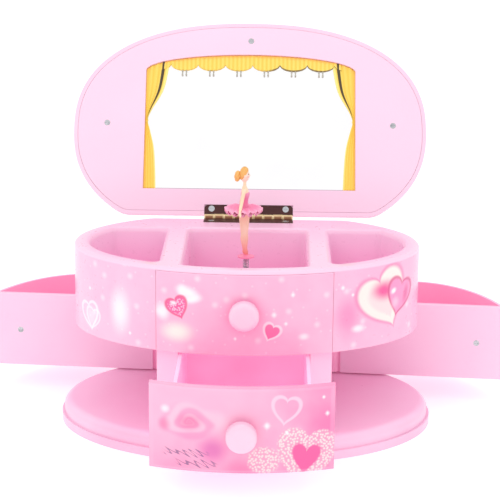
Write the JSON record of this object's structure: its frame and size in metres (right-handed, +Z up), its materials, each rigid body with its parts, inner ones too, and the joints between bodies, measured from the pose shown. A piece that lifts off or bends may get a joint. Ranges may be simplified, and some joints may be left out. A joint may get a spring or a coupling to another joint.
{
  "type": "ballerina jewellery box",
  "caption": "Oval pink musical jewellery box with a hinged mirror lid, three open compartments, a front drawer, two swing-out side trays and a spinning wind-up ballerina.",
  "frame": {"origin": "underside of the base cover, on the box's centre line and level with the middle of its oval", "axes": "+Z up, +Y to the back where the hinge is, +X to the right seen from the front"},
  "size_m": [0.2908, 0.227, 0.2043],
  "materials": {
    "base_pink": "glossy moulded pink",
    "body_pink": "glossy moulded pink with a soft printed pattern",
    "housing_pink": "satin moulded pink",
    "front_print": "glossy printed front",
    "knob_pink": "glossy pale pink",
    "drawer_pink": "satin hot pink",
    "tray_pink": "satin pale pink",
    "lid_pink": "glossy very pale pink",
    "mirror": "silvered",
    "card": "matt board",
    "curtain_gold": "printed yellow",
    "hinge_bronze": "dark bronze with worn edges",
    "steel": "bright zinc plated",
    "brass": "satin",
    "inner_white": "matt moulded",
    "skin": "painted doll",
    "dress_pink": "painted pink",
    "hair_blonde": "painted blonde"
  },
  "bodies": {
    "box": {"base_cover": "inner_white", "base_cover_screws": "steel", "base_screws": "steel", "base_shell": "base_pink", "comb": "steel", "comb_block": "brass", "comb_screws": "steel", "frame_screws": "steel", "hinge_leaf_box": "hinge_bronze", "hinge_pin": "hinge_bronze", "hinge_screws_box": "steel", "key_bush": "brass", "left_pivot_pin": "steel", "lower_housing": "housing_pink", "movement_frame": "brass", "right_pivot_pin": "steel", "spindle_bush": "brass", "storey_screws": "steel", "upper_floor": "housing_pink", "upper_front_panel": "front_print", "upper_knob": "knob_pink", "upper_knob_screw": "steel", "upper_tray": "body_pink"},
    "lid": {"lid_shell": "lid_pink", "lid_liner": "lid_pink", "lid_screws": "steel", "hinge_pad": "inner_white", "mirror_glass": "mirror", "mirror_backing": "card", "curtain_print": "curtain_gold", "hinge_leaf_lid": "hinge_bronze", "hinge_screws_lid": "steel"},
    "drawer": {"drawer_bin": "drawer_pink", "drawer_front": "front_print", "drawer_screws": "steel", "drawer_knob": "knob_pink", "drawer_knob_screw": "steel"},
    "left_tray": {"left_tray_bin": "tray_pink", "left_tray_panel": "tray_pink", "left_tray_screw": "steel"},
    "right_tray": {"right_tray_bin": "tray_pink", "right_tray_panel": "tray_pink", "right_tray_screw": "steel"},
    "barrel": {"spring_barrel": "brass", "mainspring": "steel"},
    "winder": {"winding_arbor": "steel", "winding_key": "brass"},
    "spindle": {"spindle": "steel"},
    "cylinder": {"music_cylinder": "brass"},
    "governor": {"governor": "brass"},
    "spring": {"figure_spring": "steel"},
    "figure": {"figure_foot": "dress_pink", "figure_body": "skin", "figure_tutu": "dress_pink", "figure_hair": "hair_blonde"}
  },
  "joints": [
    {"name": "lid_hinge", "type": "hinge", "parent": "box", "child": "lid", "pos_m": [0, 0.0517, 0.10115], "axis": [1, 0, 0], "range_deg": [0, 116.9]},
    {"name": "drawer_slide", "type": "slide", "parent": "box", "child": "drawer", "axis": [0, -1, 0], "range_m": [-0.048, 0.03]},
    {"name": "left_tray_swing", "type": "hinge", "parent": "box", "child": "left_tray", "pos_m": [-0.0496, 0.0462, 0.034], "axis": [0, 0, 1], "range_deg": [-1.8, 94.2]},
    {"name": "right_tray_swing", "type": "hinge", "parent": "box", "child": "right_tray", "pos_m": [0.0496, 0.0462, 0.034], "axis": [0, 0, 1], "range_deg": [-84.6, 9.4]},
    {"name": "figure_fold", "type": "hinge", "parent": "box", "child": "spring", "pos_m": [-0.0005, 0.007, 0.0889], "axis": [1, 0, 0], "range_deg": [0, 90], "deforming": ["figure_spring"]},
    {"name": "figure_spin", "type": "hinge", "parent": "spring", "child": "figure", "pos_m": [-0.0005, 0.007, 0.0889], "axis": [0, 0, 1], "continuous": true},
    {"name": "barrel_spin", "type": "hinge", "parent": "box", "child": "barrel", "pos_m": [-0.0005, 0.019, 0.0658], "axis": [0, 1, 0], "continuous": true},
    {"name": "key_turn", "type": "hinge", "parent": "box", "child": "winder", "pos_m": [-0.0005, 0.05, 0.0658], "axis": [0, 1, 0], "continuous": true},
    {"name": "spindle_spin", "type": "hinge", "parent": "box", "child": "spindle", "pos_m": [-0.0005, 0.007, 0.07], "axis": [0, 0, 1], "continuous": true},
    {"name": "cylinder_spin", "type": "hinge", "parent": "box", "child": "cylinder", "pos_m": [0.015, 0.007, 0.0658], "axis": [1, 0, 0], "continuous": true},
    {"name": "governor_spin", "type": "hinge", "parent": "box", "child": "governor", "pos_m": [0.0299, 0.007, 0.067], "axis": [0, 0, 1], "continuous": true}
  ],
  "couplings": [
    {"joint": "figure_fold", "follows": "lid_hinge", "ratio": 0.76989},
    {"joint": "spindle_spin", "follows": "barrel_spin", "ratio": -2},
    {"joint": "figure_spin", "follows": "barrel_spin", "ratio": -2},
    {"joint": "cylinder_spin", "follows": "barrel_spin", "ratio": -2},
    {"joint": "governor_spin", "follows": "barrel_spin", "ratio": -4}
  ]
}
